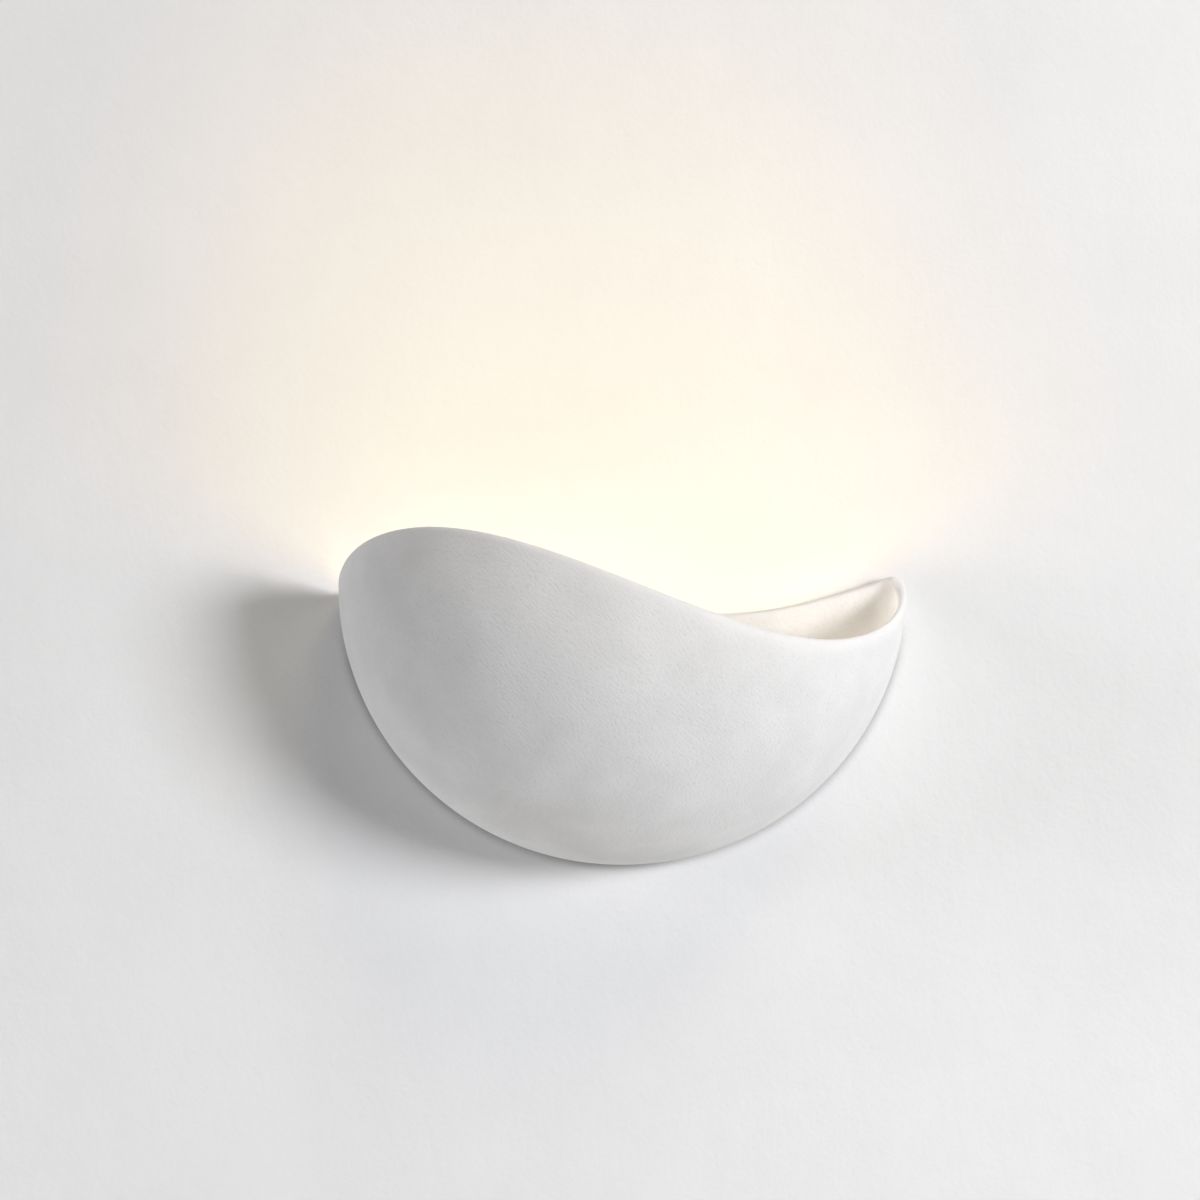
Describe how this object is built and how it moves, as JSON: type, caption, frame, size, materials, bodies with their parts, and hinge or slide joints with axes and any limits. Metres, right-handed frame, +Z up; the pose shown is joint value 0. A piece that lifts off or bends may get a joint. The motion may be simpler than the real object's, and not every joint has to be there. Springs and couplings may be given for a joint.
{
  "type": "uplighter wall sconce",
  "caption": "Half-bowl wall light with a wavy rim, open at the top, that hangs on a hooked wall plate carrying a covered light tray and driver.",
  "frame": {"origin": "midway between the two wall fixings, on the wall plane", "axes": "+Z up, +X along the wall to the viewer's right, the wall is the plane Y = 0 and the bowl stands out towards -Y"},
  "size_m": [0.2999, 0.145, 0.175],
  "materials": {
    "casting": "matte white bisque or plaster casting with a fine grain",
    "zinc_steel": "zinc-plated sheet",
    "felt": "self-adhesive felt",
    "rubber": "soft black rubber",
    "white_sheet": "white powder-coated aluminium sheet",
    "screw_steel": "zinc-plated",
    "heat_pad": "soft grey silicone sheet",
    "board_white": "white solder mask on aluminium",
    "chip": "yellow phosphor",
    "connector_plastic": "moulded",
    "opal": "frosted opal diffuser, lit warm white from inside",
    "driver_plastic": "moulded white plastic",
    "board_green": "green circuit board",
    "transformer_tape": "yellow tape over a ferrite core",
    "capacitor_sleeve": "black sleeve",
    "terminal_plastic": "grey moulded housing",
    "clamp_brass": "tinned brass",
    "lever_orange": "orange moulded levers",
    "wire_brown": "insulated",
    "wire_blue": "insulated",
    "wire_green": "insulated",
    "wire_red": "insulated",
    "wire_black": "insulated"
  },
  "bodies": {
    "wall_unit": {"wall_plate": "zinc_steel", "hook_sleeves": "rubber", "cable_grommet": "rubber", "light_tray": "white_sheet", "tray_screws": "screw_steel", "wire_grommet": "rubber", "heat_pad": "heat_pad", "led_board": "board_white", "led_chips": "chip", "led_connector": "connector_plastic", "board_screws": "screw_steel", "frosted_cover": "opal", "cover_screws": "screw_steel", "driver_case": "driver_plastic", "driver_lid": "driver_plastic", "driver_board": "board_green", "driver_transformer": "transformer_tape", "driver_capacitors": "capacitor_sleeve", "driver_screws": "screw_steel", "terminal_block": "terminal_plastic", "terminal_clamps": "clamp_brass", "terminal_screws": "screw_steel", "earth_stud": "screw_steel", "earth_tag": "clamp_brass", "earth_washer": "screw_steel", "earth_nut": "screw_steel", "live_wire": "wire_brown", "neutral_wire": "wire_blue", "earth_wire": "wire_green", "led_plus_wire": "wire_red", "led_minus_wire": "wire_black"},
    "bowl": {"bowl_shell": "casting", "hanger_clips": "zinc_steel", "back_pads": "felt"},
    "lever_live": {"live_lever": "lever_orange"},
    "lever_neutral": {"neutral_lever": "lever_orange"},
    "lever_earth": {"earth_lever": "lever_orange"}
  },
  "joints": [
    {"name": "bowl_lift", "type": "slide", "parent": "wall_unit", "child": "bowl", "axis": [0, 0, 1], "range_m": [0, 0.012]},
    {"name": "live_lever_turn", "type": "hinge", "parent": "wall_unit", "child": "lever_live", "pos_m": [-0.03, -0.018, -0.018], "axis": [1, 0, 0], "range_deg": [0, 90]},
    {"name": "neutral_lever_turn", "type": "hinge", "parent": "wall_unit", "child": "lever_neutral", "pos_m": [-0.02, -0.018, -0.018], "axis": [1, 0, 0], "range_deg": [0, 90]},
    {"name": "earth_lever_turn", "type": "hinge", "parent": "wall_unit", "child": "lever_earth", "pos_m": [-0.01, -0.018, -0.018], "axis": [1, 0, 0], "range_deg": [0, 90]}
  ]
}
